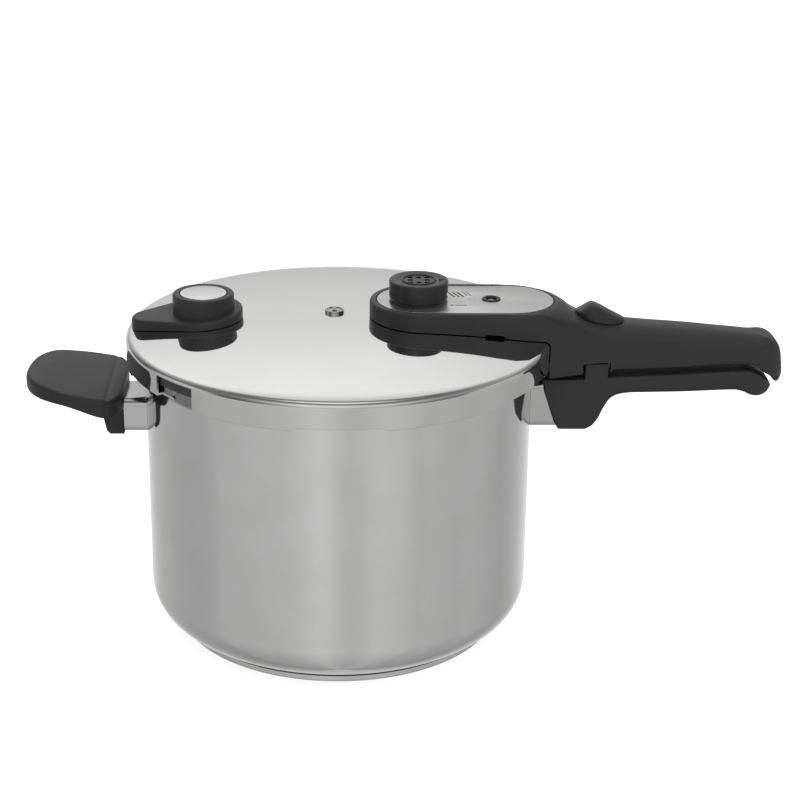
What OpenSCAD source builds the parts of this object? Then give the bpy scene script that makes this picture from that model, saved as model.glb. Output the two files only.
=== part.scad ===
// Stovetop pressure cooker with a bayonet lid, a long pot handle and a short helper handle.
// Millimetres. Origin at the centre of the base underside, +Z up, +X along the long handle.

/* [Pot] */
// Outside radius of the pot wall
pot_r = 112; // [111.5:0.1:112.2]
// Thickness of the pot wall
pot_wall = 1; // [0.8:0.1:1.2]
// Outside radius of the bend between wall and floor
corner_r = 22.5; // [21:0.5:25]
// Radius of the heat-spreading base disc
base_r = 96; // [93:0.5:97]
// Height of the heat-spreading base disc
base_h = 4.3; // [4:0.1:6]

/* [Lid] */
// Outside radius of the lid skirt
lid_r = 122.5; // [122.5:0.1:122.8]
// Thickness of the lid sheet
lid_wall = 1; // [0.9:0.1:1.1]
// Rise of the dome from its shoulder to its centre
crown_h = 7; // [6.5:0.1:7.5]
// Angle that one bayonet lug covers
lug_angle = 24; // [20:1:26]

/* [Regulator] */
// Distance of the regulator axis from the lid centre
valve_x = 45.5; // [45:0.1:46]
// Outside radius of the regulator knob
knob_r = 17; // [16:0.1:17.2]
// Radius of the regulator's brass stem
stem_r = 6; // [5.8:0.1:6]
// Radial running clearance of turning and sliding fits
running = 0.06; // [0.04:0.01:0.08]

/* [Lid handle] */
// Radius of the rounded nose that covers the valves
nose_r = 29.6; // [29:0.1:30]
// Half width of the grip behind the nose
grip_half = 16; // [15.5:0.1:16.5]
// Wall thickness of the plastic mouldings
moulding = 3; // [2.5:0.1:3]
// Radius of the lock bolt
bolt_r = 2; // [1.8:0.1:2]

/* [Helper handle] */
// Half width of the wing of the helper handle
wing_half = 36; // [34:0.5:38]

/* [Hidden] */
$fn = 96;

rim_z = 170;            // top of the pot's rolled rim
rim_r = 116;            // reach of the rim between the lugs
rim_t = 1.2;            // thickness of the rim and of the lugs
lug_r = 119.5;          // reach of the pot's bayonet lugs
lug_lip_z = 165.8;      // lowest point of the turned-down lip of a lug
lug_count = 6;
lug_pitch = 360 / lug_count;
tab_in_r = 116.5;       // inner reach of the lid's bayonet tabs
tab_z = 164.2;          // underside of the lid's bayonet tabs
skirt_z = 162.7;        // lower edge of the lid's skirt between the tabs
crown_z = 186.5;        // top of the dome at its centre
dome_r = 118.5;         // radius at which the dome meets the rounded shoulder
crown_power = 2.5;      // how flat the dome stays around its centre
window_from = -144;     // safety window in the skirt, as angles about Z
window_to = -130;
window_z = [161, 177];
handle_x = [47, 98];    // arc centres of the nose outline
nose_top = 196.6;
plate_t = 0.7;          // thickness of the steel inlay on the nose
plate_r = 25.9;
roof_t = 2.5;
indicator_x = 87.5;
grip_x = -78;           // axis of the round grip on the lid
grip_top = 200;
grip_r = 17.6;          // radius of the round grip
grip_turn = 6;          // turn of the thumb rest's tip towards -Y
disc_r = 13.1;          // radius of the grip's steel disc
safety_x = -2.8;        // axis of the over-pressure valve
safety_y = 6;
index_angle = -15;      // angle of the white dot on the regulator knob
lid_gap = 0.2;          // clearance between the lid sheet and the plastic around it
lock_y = -10.2;         // axis of the lock bolt
lock_z = 158.8;
lock_travel = 6;
tab_x = [141.7, 155.4]; // stop tab of the pot handle
tab_y = [-16, -6.4];
tab_top = 162.2;
arm_half = 6;           // half width of the welded handle brackets
long_z = 138;           // height of the long handle's bracket
helper_z = 130;         // height of the helper handle's bracket
screw_r = 2.2;
thread_r = 2.1;

// Side outline of the lid handle from the nose to its end, along the crest.
upper_crest = [[98, 196.6], [127.6, 196.6], [131, 195], [134, 193], [138, 189.6], [142, 187.2],
    [147, 185.5], [153, 184.6], [165, 184.2], [180, 183.2], [198, 182.2], [219, 180.4],
    [233.6, 179.2], [242.5, 178], [249.2, 175.5], [253.7, 170.6], [256.6, 165], [258.3, 158.8]];
// Underside of the lid handle from its hooked end back to the block beside the lid.
upper_under = [[258.4, 152], [257, 149.7], [255.3, 149.2], [253, 150.5], [251, 153.4],
    [247, 155.9], [242, 159.6], [236.5, 161.5], [217, 160.9], [199, 159.7], [174, 158.9],
    [157.6, 158.2], [156.5, 155.6], [98, 155.6]];
// Side outline of the pot handle: top edge, rounded end, underside and mounting block.
lower_outline = [[117.4, 153.2], [140, 153.2], [157.6, 154.2], [174, 154.8], [199, 155.7],
    [221, 156.9], [237, 157.3], [242.7, 155.4], [247.6, 151.5], [251.3, 148.2], [252.5, 145.8],
    [250.5, 142.8], [244.7, 141], [240, 141.6], [236, 143.8], [230, 145.2], [198, 144.3],
    [169.7, 144], [162.7, 143.2], [157.6, 140.8], [153.8, 136], [150.7, 128.1], [146.8, 123],
    [142.8, 121.4], [128.2, 121.4], [126.6, 123], [124.4, 127.5], [121.8, 134], [119.6, 139],
    [118, 143.5]];
// Side outline of the helper handle's wing.
wing_outline = [[-124, 134], [-124, 145.5], [-127, 146], [-137, 147.8], [-158, 150.8],
    [-170, 152], [-177, 151.6], [-180.4, 149.6], [-181, 147.5], [-179.6, 145.4], [-175, 144.4],
    [-157, 144.2], [-149, 142.3], [-135, 136.9]];
// Side outline of the helper handle's neck.
neck_outline = [[-124, 140], [-140, 141], [-135.4, 135], [-133.9, 123.5], [-131, 120.5],
    [-124, 120.5]];
// Side outline of the lock button: top first, then its underside above the handle's crest.
button_outline = [[134.5, 192.9], [140.5, 192.2], [143.5, 194], [146.3, 195], [149, 194.3],
    [157.3, 190], [163, 187.2], [165.2, 185.6], [165, 184.6], [153, 185], [147, 185.9],
    [142, 187.7], [138.3, 190]];

function dome_z(r) = crown_z - crown_h * pow(r / dome_r, crown_power);
function dome_line(r_end, up) = [for (r = [0:4:r_end]) [r, dome_z(r) + up]];
function nose_blend(x) = (1 + cos(180 * min(1, max(0, (x - handle_x[1]) / 60)))) / 2;
function grip_taper(x) = grip_half - 2.5 * max(0, (x - 158) / 87);
function upper_half(x) = grip_taper(x) + (nose_r - grip_taper(x)) * nose_blend(x);
function end_round(x, from, to) = sqrt(1 - 0.85 * pow(max(0, (x - from) / (to - from)), 2));

// Rounded shoulder between the dome and the skirt, from the inside outwards.
shoulder = [[dome_r, dome_z(dome_r)], [120.3, 178.9], [121.6, 178], [lid_r - 0.15, 176.7],
    [lid_r, 175.4]];

// Turns an outline drawn in X and Z into a body of the given half width about Y = 0.
module side_body(half) {
    rotate([90, 0, 0])
        linear_extrude(height = 2 * half, center = true)
            children();
}

// Body between two heights with the given outline in X and Y.
module plan_body(z0, z1) {
    translate([0, 0, z0])
        linear_extrude(height = z1 - z0)
            children();
}

module stadium(r, x0, x1) {
    translate([x0, 0])
        circle(r);
    translate([x1, 0])
        circle(r);
    translate([x0, -r])
        square([x1 - x0, 2 * r]);
}

module tube(r_out, r_in, z0, z1) {
    translate([0, 0, z0])
        difference() {
            cylinder(r = r_out, h = z1 - z0);
            translate([0, 0, -1])
                cylinder(r = r_in, h = z1 - z0 + 2);
        }
}

module post(r, z0, z1) {
    translate([0, 0, z0])
        cylinder(r = r, h = z1 - z0);
}

module hex_nut(r, bore, z0, z1) {
    translate([0, 0, z0])
        difference() {
            cylinder(r = r, h = z1 - z0, $fn = 6);
            translate([0, 0, -1])
                cylinder(r = bore, h = z1 - z0 + 2);
        }
}

// Round wire wound into a coil between two heights; r is the radius of the coil's centre line.
module coil_spring(r, wire, z0, z1, turns) {
    sides = 6;
    steps = 12 * turns;
    rings = [for (i = [0:steps], j = [0:sides - 1])
        let (a = 360 * turns * i / steps, b = 360 * j / sides, q = r + wire * cos(b))
        [q * cos(a), q * sin(a), z0 + wire + (z1 - z0 - 2 * wire) * i / steps + wire * sin(b)]];
    walls = [for (i = [0:steps - 1], j = [0:sides - 1])
        [i * sides + j, (i + 1) * sides + j, (i + 1) * sides + (j + 1) % sides,
            i * sides + (j + 1) % sides]];
    first = [for (j = [0:sides - 1]) j];
    last = [for (j = [sides - 1:-1:0]) steps * sides + j];
    polyhedron(points = rings, faces = concat(walls, [first], [last]));
}

// Section of a pan with a flat floor and a rounded corner, from the axis outwards.
module pan_section(r, corner, z0, z1) {
    translate([0, z0])
        square([r - corner, z1 - z0]);
    translate([0, z0 + corner])
        square([r, z1 - z0 - corner]);
    translate([r - corner, z0 + corner])
        circle(corner);
}

// One sector of a revolved section, centred on the given angle.
module sector(angle, width) {
    rotate([0, 0, angle - width / 2])
        rotate_extrude(angle = width)
            children();
}

// Everything below the dome and inside the skirt, grown outwards by a gap.
module lid_envelope(gap) {
    rotate_extrude()
        polygon(concat(dome_line(116, gap), [for (p = shoulder) [p[0] + gap, p[1] + gap]],
            [[lid_r + gap, 120], [0, 120]]));
}

module pot_shell() {
    color("silver") {
        rotate_extrude()
            difference() {
                union() {
                    pan_section(pot_r, corner_r, base_h, rim_z);
                    translate([pot_r - pot_wall, rim_z - rim_t])
                        square([rim_r - pot_r + pot_wall, rim_t]);
                }
                pan_section(pot_r - pot_wall, corner_r - pot_wall, base_h + pot_wall, rim_z + 1);
            }
        for (k = [0:lug_count - 1])
            sector(-90 + lug_pitch * k, lug_angle) {
                translate([rim_r - 0.5, rim_z - rim_t])
                    square([lug_r - rim_r + 0.5, rim_t]);
                translate([lug_r - rim_t, lug_lip_z])
                    square([rim_t, rim_z - lug_lip_z]);
            }
    }
}

module base_core() {
    color("lightgray")
        post(base_r - 1.1, 0.8, base_h);
}

module base_cap() {
    color("silver")
        rotate_extrude()
            difference() {
                pan_section(base_r, 2, 0, base_h + 0.1);
                translate([0, 0.8])
                    square([base_r - 1.1, base_h]);
            }
}

// Weld pad on the pot wall with a flat arm that carries a plastic handle.
module bracket(z, reach, hole_x) {
    difference() {
        union() {
            intersection() {
                tube(pot_r + 1.5, pot_r, z - 8, z + 8);
                translate([0, -12, z - 8])
                    cube([pot_r + 10, 24, 16]);
            }
            translate([pot_r + 0.5, -arm_half, z - 4])
                cube([reach - pot_r - 0.5, 2 * arm_half, 8]);
        }
        translate([hole_x, 0, z - 5])
            cylinder(r = thread_r, h = 10);
    }
}

// Steel sleeve between the pot wall and a plastic handle.
module collar(half, z0, z1, x_end) {
    edge = 5;
    difference() {
        rotate([90, 0, 90])
            linear_extrude(height = x_end)
                difference() {
                    translate([-half, z0])
                        rounded_rectangle(2 * half, z1 - z0, edge);
                    translate([-half + 1, z0 + 1])
                        rounded_rectangle(2 * half - 2, z1 - z0 - 2, edge - 1);
                }
        post(pot_r + 0.05, z0 - 1, z1 + 1);
    }
}

module rounded_rectangle(w, h, r) {
    for (x = [r, w - r], y = [r, h - r])
        translate([x, y])
            circle(r);
    translate([r, 0])
        square([w - 2 * r, h]);
    translate([0, r])
        square([w, h - 2 * r]);
}

module long_bracket() {
    color("silver")
        bracket(long_z, 150, 140);
}

module long_collar() {
    color("silver")
        difference() {
            collar(17, 123.3, 151.7, 132);
            side_body(40)
                polygon(lower_outline);
        }
}

module lower_plan() {
    half = [for (x = [118, 140, 158, 200, 238, 243, 247, 250, 252, 253])
        [x, grip_taper(x) * end_round(x, 238, 253)]];
    polygon(concat(half, [for (i = [len(half) - 1:-1:0]) [half[i][0], -half[i][1]]]));
}

module lower_handle() {
    color("dimgray")
        difference() {
            union() {
                intersection() {
                    side_body(20)
                        polygon(lower_outline);
                    plan_body(110, 170)
                        lower_plan();
                }
                translate([tab_x[0], tab_y[0], 150])
                    cube([tab_x[1] - tab_x[0], tab_y[1] - tab_y[0], tab_top - 150]);
            }
            translate([110, -arm_half - 0.05, long_z - 4.05])
                cube([40.1, 2 * arm_half + 0.1, 8.1]);
            translate([140, 0, 0])
                post(screw_r + 0.1, 120, long_z);
            translate([140, 0, 0])
                post(4.6, 120, 127);
            translate([tab_x[0] - 1, lock_y, lock_z])
                rotate([0, 90, 0])
                    cylinder(r = bolt_r + 0.35, h = tab_x[1] - tab_x[0] + 2);
        }
}

// Pan-head screw that points up, head first at z0.
module screw(r, head_r, z0, z1, head_h) {
    difference() {
        union() {
            post(head_r, z0, z0 + head_h);
            post(r, z0 + head_h, z1);
        }
        translate([-head_r, -0.5, z0 - 1])
            cube([2 * head_r, 1, 2]);
    }
}

module lower_handle_screw() {
    color("gray")
        translate([140, 0, 0])
            screw(thread_r, 4.4, 124.2, long_z + 4, 2.8);
}

module helper_bracket() {
    color("silver")
        mirror([1, 0, 0])
            bracket(helper_z, 133, 128.5);
}

module helper_collar() {
    color("silver")
        mirror([1, 0, 0])
            collar(18, 120.3, 140.7, 124);
}

module wing_plan() {
    tip = -181;
    root = -137;
    half = [for (x = [tip, -180.6, -179.5, -177, -173, -168, -162, -154, -146, root, -124])
        [x, wing_half * sqrt(max(0.02, 1 - pow(max(0, (root - x) / (root - tip)), 2.4)))]];
    polygon(concat(half, [for (i = [len(half) - 1:-1:0]) [half[i][0], -half[i][1]]]));
}

module helper_handle() {
    color("dimgray")
        difference() {
            union() {
                intersection() {
                    side_body(45)
                        polygon(wing_outline);
                    plan_body(120, 160)
                        wing_plan();
                }
                side_body(19)
                    polygon(neck_outline);
            }
            translate([-133.1, -arm_half - 0.05, helper_z - 4.05])
                cube([20, 2 * arm_half + 0.1, 8.1]);
            translate([-128.5, 0, 0])
                post(screw_r + 0.1, 119, helper_z);
            translate([-128.5, 0, 0])
                post(4.2, 119, 123.5);
        }
}

module helper_screw() {
    color("gray")
        translate([-128.5, 0, 0])
            screw(thread_r, 4, 121, helper_z + 4, 2.5);
}

// Silicone ring of C-shaped section that seals the lid against the pot's rim.
module sealing_ring() {
    inner = 108;
    outer = 120.4;
    color("whitesmoke")
        rotate_extrude()
            difference() {
                translate([inner, rim_z + 0.15])
                    square([outer - inner, 6.6]);
                translate([inner + 3.4, rim_z + 3.6])
                    circle(1.3);
                translate([inner - 1, rim_z + 2.3])
                    square([4.4, 2.6]);
            }
}

module lid_shell() {
    outer = concat(dome_line(116, 0), shoulder);
    inner = concat(dome_line(116, -lid_wall), [[dome_r - 0.3, dome_z(dome_r) - lid_wall],
        [119.8, 177.9], [120.9, 177.1], [lid_r - lid_wall - 0.1, 176.1],
        [lid_r - lid_wall, 175.2]]);
    color("gainsboro")
        difference() {
            union() {
                rotate_extrude()
                    difference() {
                        polygon(concat(outer, [[lid_r, skirt_z], [0, skirt_z]]));
                        polygon(concat(inner, [[lid_r - lid_wall, skirt_z - 1],
                            [0, skirt_z - 1]]));
                    }
                for (k = [0:lug_count - 1])
                    sector(-90 + lug_pitch * k, lug_angle)
                        translate([tab_in_r, tab_z])
                            square([lid_r - lid_wall / 2 - tab_in_r, rim_t]);
                translate([valve_x, 0, 0])
                    post(11, 184.4, 186.2);
                translate([indicator_x, 0, 0])
                    post(6.5, 181.7, 183.9);
                translate([grip_x, 0, 0])
                    post(5.5, 182.6, 184.6);
            }
            for (k = [0:lug_count - 1])
                sector(-90 + lug_pitch * k, lug_angle)
                    translate([lid_r - lid_wall - 1, skirt_z - 1])
                        square([lid_wall + 2, tab_z - skirt_z + 1]);
            sector((window_from + window_to) / 2, window_to - window_from)
                translate([lid_r - 3, window_z[0]])
                    square([6, window_z[1] - window_z[0]]);
            translate([valve_x, 0, 0])
                post(stem_r, 170, 190);
            translate([indicator_x, 0, 0])
                post(3.4, 170, 190);
            translate([grip_x, 0, 0])
                post(thread_r + 0.4, 170, 190);
            translate([safety_x, safety_y, 0])
                post(3.2, 170, 190);
        }
}

module upper_plan(inset) {
    half = [for (x = [98, 103, 108, 113, 118, 123, 128, 133, 138, 143, 148, 153, 158, 200, 245,
        250, 253, 255.5, 257.3, 258.4])
        [x, upper_half(x) * end_round(x, 245, 258.4) - inset]];
    polygon(concat(half, [for (i = [len(half) - 1:-1:0]) [half[i][0], -half[i][1]]]));
}

// Plastic moulding on the lid: rounded nose over the valves and a hollow grip behind it.
module upper_handle() {
    inner_crest = [for (p = upper_crest) if (p[0] > 127 && p[0] < 240) [p[0], p[1] - moulding]];
    color("dimgray")
        difference() {
            union() {
                difference() {
                    union() {
                        plan_body(176, nose_top)
                            stadium(nose_r, handle_x[0], handle_x[1]);
                        intersection() {
                            side_body(32)
                                polygon(concat(upper_crest, upper_under));
                            plan_body(140, 200)
                                upper_plan(0);
                        }
                    }
                    lid_envelope(lid_gap);
                    plan_body(176, nose_top - plate_t - roof_t)
                        stadium(nose_r - moulding, handle_x[0], handle_x[1]);
                    intersection() {
                        side_body(32)
                            polygon(concat([[115, 190]], inner_crest, [[236, 140], [115, 140]]));
                        plan_body(140, 200)
                            upper_plan(moulding);
                        rotate_extrude()
                            translate([lid_r + lid_gap + moulding, 130])
                                square([140, 80]);
                    }
                    intersection() {
                        plan_body(181, 190)
                            upper_plan(moulding);
                        post(140, 181, 190);
                        translate([98, -9, 181])
                            cube([42, 18, 9]);
                    }
                }
                for (y = [-5, 5])
                    translate([130, y, 0])
                        post(4.3, 183.5, 192.5);
            }
            plan_body(nose_top - plate_t, 200)
                stadium(plate_r + 0.05, handle_x[0], handle_x[1]);
            translate([valve_x, 0, 0])
                post(9.3, 180, 200);
            translate([indicator_x, 0, 0])
                post(3.9, 190, 200);
            for (y = [-5, 5])
                translate([130, y, 0])
                    post(thread_r, 180, 191);
            translate([82, -32, 170])
                cube([12, 8, 15.4]);
            translate([143.6, -3.3, 175])
                cube([17, 6.6, 20]);
            translate([140.2, -18, 140])
                cube([16.3, 12, 23.2]);
        }
}

module top_plate() {
    color("gainsboro")
        difference() {
            plan_body(nose_top - plate_t, nose_top - 0.1)
                stadium(plate_r, handle_x[0], handle_x[1]);
            translate([valve_x, 0, 0])
                post(12, 190, 200);
            translate([indicator_x, 0, 0])
                post(5.5, 190, 200);
        }
}

// Plastic cover that closes the grip's underside behind the stop tab.
module grip_underplate() {
    color("dimgray")
        intersection() {
            side_body(32)
                polygon([[162, 158.8], [174, 159.2], [199, 160], [217, 161.2], [234, 161.8],
                    [234, 164], [162, 161]]);
            plan_body(140, 200)
                upper_plan(moulding + 0.1);
        }
}

// Steel strip welded along the dome, with an arm that carries the lid handle.
module handle_carrier() {
    color("silver")
        difference() {
            union() {
                intersection() {
                    rotate_extrude()
                        polygon(concat(dome_line(116, 0.02),
                            [for (r = [116:-4:0]) [r, dome_z(r) + 1.5]]));
                    translate([97, -8, 170])
                        cube([20, 16, 20]);
                }
                translate([108, -8, 181.2])
                    cube([31, 16, 2.3]);
            }
            lid_envelope(0.02);
            for (y = [-5, 5])
                translate([130, y, 0])
                    post(thread_r + 0.1, 170, 190);
        }
}

module handle_screws() {
    color("gray")
        for (y = [-5, 5])
            translate([130, y, 0])
                screw(thread_r, 4, 178.6, 190.5, 2.6);
}

// Brass regulator stem through lid and nose, with the seat of the piston.
module valve_body() {
    color("goldenrod")
        translate([valve_x, 0, 0])
            difference() {
                union() {
                    post(stem_r, 175, 203);
                    post(9, 186.2, 189);
                }
                post(2.6, 170, 195);
                post(4.6, 192, 205);
            }
}

module valve_washer() {
    color("whitesmoke")
        translate([valve_x, 0, 0])
            tube(10, stem_r, 182.9, 184.4);
}

module valve_nut() {
    color("silver")
        translate([valve_x, 0, 0])
            hex_nut(11, stem_r, 179, 182.9);
}

// Perforated cap that keeps food out of the regulator's bore.
module valve_strainer() {
    color("silver")
        translate([valve_x, 0, 0])
            difference() {
                post(7.4, 172, 179);
                post(stem_r, 173, 180);
                for (k = [0:5])
                    rotate([0, 0, 60 * k])
                        translate([3.6, 0, 0])
                            post(0.9, 171, 174);
            }
}

module valve_spring() {
    color("gray")
        translate([valve_x, 0, 0])
            coil_spring(3, 0.5, 197.1, 205.6, 5);
}

module knob_seat() {
    color("black")
        translate([valve_x, 0, 0])
            tube(15.2, 9.3, nose_top - 0.1, 197.4);
}

// Turning regulator knob, with steam holes in its top and a raised arrow.
module valve_knob() {
    hole = 2.8;
    pitch = 4.8;
    color("dimgray")
        translate([valve_x, 0, 0])
            difference() {
                union() {
                    rotate_extrude()
                        difference() {
                            union() {
                                translate([0, 198])
                                    square([knob_r, 9]);
                                translate([0, 198])
                                    square([knob_r - 1.4, 10.4]);
                                translate([knob_r - 1.4, 207])
                                    circle(1.4);
                            }
                            translate([8.6, 197])
                                square([knob_r - 11, 8.8]);
                            translate([0, 197])
                                square([stem_r + running, 8.8]);
                        }
                    translate([0, 0, 208])
                        linear_extrude(height = 0.8)
                            polygon([[14.5, 0], [11.5, 1.6], [11.5, -1.6]]);
                }
                for (i = [-1:1], j = [-1:1])
                    if (i != 0 || j != 0)
                        translate([i * pitch - hole / 2, j * pitch - hole / 2, 204])
                            cube([hole, hole, 8]);
                tube(9.5, 8.9, 208.1, 209);
                index_place()
                    post(1.2, 14, 18);
            }
}

// Frame of the index dot on the knob's side, with its own Z pointing out of the knob.
module index_place() {
    translate([0, 0, 200.6])
        rotate([0, 0, index_angle])
            rotate([0, 90, 0])
                children();
}

module knob_index() {
    color("white")
        translate([valve_x, 0, 0])
            intersection() {
                index_place()
                    post(1.2, 15, 18);
                post(knob_r, 190, 210);
            }
}

module valve_piston() {
    color("silver")
        translate([valve_x, 0, 0]) {
            post(4.6 - running, 192, 197);
            post(1.7, 197, 202.8);
        }
}

module indicator_guide() {
    color("silver")
        translate([indicator_x, 0, 0])
            difference() {
                union() {
                    post(3.4, 177.5, 193.2);
                    post(5.2, 183.9, 185.5);
                }
                post(1.9 + running, 170, 200);
            }
}

module indicator_washer() {
    color("whitesmoke")
        translate([indicator_x, 0, 0])
            tube(6, 3.4, 180.5, 181.7);
}

module indicator_nut() {
    color("silver")
        translate([indicator_x, 0, 0])
            hex_nut(6.3, 3.4, 178, 180.5);
}

module indicator_bezel() {
    color("black")
        translate([indicator_x, 0, 0])
            union() {
                tube(5.4, 3.1, nose_top - plate_t, 197.2);
                tube(3.8, 3.45, 193.4, nose_top - plate_t);
            }
}

module indicator_pin() {
    color("gray")
        translate([indicator_x, 0, 0]) {
            post(1.9, 172, 196.2);
            post(2.9, 170.6, 172);
        }
}

module indicator_seal() {
    color("black")
        translate([indicator_x, 0, 0])
            tube(3, 1.9, 172, 173.3);
}

// Chromed over-pressure valve in the middle of the lid, with a dished top.
module safety_body() {
    color("gainsboro")
        translate([safety_x, safety_y, 0])
            rotate_extrude()
                difference() {
                    union() {
                        translate([0, crown_z])
                            square([5.6, 1.6]);
                        translate([0, 178])
                            square([3.2, 10]);
                    }
                    translate([0, 177])
                        square([1.3, 15]);
                    translate([0, 180])
                        square([2.4, 5.5]);
                    translate([0, 195.6])
                        circle(8);
                }
}

module safety_washer() {
    color("whitesmoke")
        translate([safety_x, safety_y, 0])
            tube(6, 3.2, 184.2, crown_z - lid_wall - 0.02);
}

module safety_nut() {
    color("silver")
        translate([safety_x, safety_y, 0])
            hex_nut(6.2, 3.2, 180.7, 184.2);
}

module safety_spring() {
    color("gray")
        translate([safety_x, safety_y, 0])
            coil_spring(1.85, 0.3, 181.2, 185.4, 4);
}

module safety_pin() {
    color("gray")
        translate([safety_x, safety_y, 0]) {
            post(2.4 - running, 180, 181.1);
            post(1.3 - running, 181.1, 187.9);
        }
}

// Round grip with a flat tapering thumb rest on the lid.
module lid_grip() {
    tip_r = 10;
    foot_r = 22.5;
    reach = 32.2;
    lean = asin((foot_r - tip_r) / reach);
    color("dimgray")
        difference() {
            union() {
                plan_body(176, 189.6)
                    translate([grip_x, 0])
                        rotate(grip_turn)
                            polygon(concat(
                                [for (i = [-16:16])
                                    let (a = i * (90 + lean) / 16)
                                    [foot_r * cos(a), foot_r * sin(a)]],
                                [for (i = [0:8])
                                    let (a = 90 + lean + i * (90 - lean) / 4)
                                    [tip_r * cos(a) - reach, tip_r * sin(a)]]));
                translate([grip_x, 0, 0])
                    rotate_extrude() {
                        translate([0, 188])
                            square([grip_r, grip_top - 190]);
                        translate([0, 188])
                            square([grip_r - 2, grip_top - 188]);
                        translate([grip_r - 2, grip_top - 2])
                            circle(2);
                    }
            }
            lid_envelope(lid_gap);
            translate([grip_x, 0, 0]) {
                post(disc_r + 0.05, grip_top - 0.9, grip_top + 1);
                post(thread_r, 180, 194);
                post(5.6, 180, 184.6);
            }
        }
}

module grip_disc() {
    color("gainsboro")
        translate([grip_x, 0, 0])
            post(disc_r, grip_top - 0.9, grip_top - 0.1);
}

module grip_screw() {
    color("gray")
        translate([grip_x, 0, 0])
            screw(thread_r, 5, 179.8, 193, 2.8);
}

module lock_button() {
    color("black")
        intersection() {
            side_body(9)
                polygon(button_outline);
            plan_body(180, 200)
                polygon([[134.5, 5], [142, 8.2], [150, 8.6], [158, 7], [165.2, 3],
                    [165.2, -3], [158, -7], [150, -8.6], [142, -8.2], [134.5, -5]]);
        }
}

// Steel slider inside the grip: a stem from the button, a bar and the bolt beside the tab.
module lock_slider() {
    color("silver") {
        difference() {
            translate([145, -2.8, 166])
                cube([7.5, 5.6, 24]);
            side_body(9)
                polygon(concat(button_outline, [[150, 200]]));
        }
        translate([129, -12, 166])
            cube([23.5, 14.8, 2.5]);
        translate([129, -12.2, 156.6])
            cube([4.5, 4, 11]);
        translate([130, lock_y, lock_z])
            rotate([0, 90, 0])
                cylinder(r = bolt_r, h = 10.9);
    }
}

pot_shell();
base_core();
base_cap();
long_bracket();
long_collar();
lower_handle();
lower_handle_screw();
helper_bracket();
helper_collar();
helper_handle();
helper_screw();
sealing_ring();
lid_shell();
upper_handle();
top_plate();
grip_underplate();
handle_carrier();
handle_screws();
valve_body();
valve_washer();
valve_nut();
valve_strainer();
valve_spring();
knob_seat();
indicator_guide();
indicator_washer();
indicator_nut();
indicator_bezel();
safety_body();
safety_washer();
safety_nut();
safety_spring();
lid_grip();
grip_disc();
grip_screw();
valve_knob();
knob_index();
valve_piston();
indicator_pin();
indicator_seal();
lock_button();
lock_slider();
safety_pin();
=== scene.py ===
"""Looks of a stovetop pressure cooker with a bayonet lid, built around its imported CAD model.

Shapes are worked out in millimetres in the model's own frame: origin at the centre of the base
underside, +X along the long handle, +Z up. add_mesh() turns them into metres.
"""

import math

import bmesh
import bpy
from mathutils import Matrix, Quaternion, Vector


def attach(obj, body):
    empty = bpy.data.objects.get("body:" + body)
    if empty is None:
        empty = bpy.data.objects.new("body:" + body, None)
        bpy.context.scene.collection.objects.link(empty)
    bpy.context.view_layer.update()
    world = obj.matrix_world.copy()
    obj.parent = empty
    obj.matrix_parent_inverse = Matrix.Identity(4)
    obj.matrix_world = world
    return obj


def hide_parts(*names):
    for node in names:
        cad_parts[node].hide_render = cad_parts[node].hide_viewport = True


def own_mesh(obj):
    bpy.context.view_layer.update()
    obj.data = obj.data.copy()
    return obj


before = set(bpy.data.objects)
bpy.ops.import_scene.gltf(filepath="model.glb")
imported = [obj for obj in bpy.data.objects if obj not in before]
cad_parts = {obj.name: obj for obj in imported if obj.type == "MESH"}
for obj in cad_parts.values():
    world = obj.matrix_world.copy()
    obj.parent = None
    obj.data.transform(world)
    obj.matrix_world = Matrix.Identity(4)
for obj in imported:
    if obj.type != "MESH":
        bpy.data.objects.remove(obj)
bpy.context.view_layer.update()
MM = 0.001


# ---- camera and lights

EYE = (-0.65, -1040.87, 535.77)
AIM = (35.65, -1.25, 134.5)
ROLL = 0.8  # degrees


def make_camera():
    eye = Vector(EYE) * MM
    aim = Vector(AIM) * MM
    data = bpy.data.cameras.new("Camera")
    data.lens = 85.5
    camera = bpy.data.objects.new("Camera", data)
    bpy.context.scene.collection.objects.link(camera)
    camera.rotation_mode = "QUATERNION"
    roll = Quaternion((0, 0, 1), math.radians(ROLL))
    camera.rotation_quaternion = (aim - eye).to_track_quat("-Z", "Y") @ roll
    camera.location = eye
    bpy.context.scene.camera = camera


def add_light(name, place, aim, size, watts):
    data = bpy.data.lights.new(name, "AREA")
    data.shape = "DISK"
    data.size = size
    data.energy = watts
    light = bpy.data.objects.new(name, data)
    bpy.context.scene.collection.objects.link(light)
    light.location = place
    light.rotation_mode = "QUATERNION"
    light.rotation_quaternion = (Vector(aim) - Vector(place)).to_track_quat("-Z", "Y")
    light.visible_glossy = False


# ---- shader nodes

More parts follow.
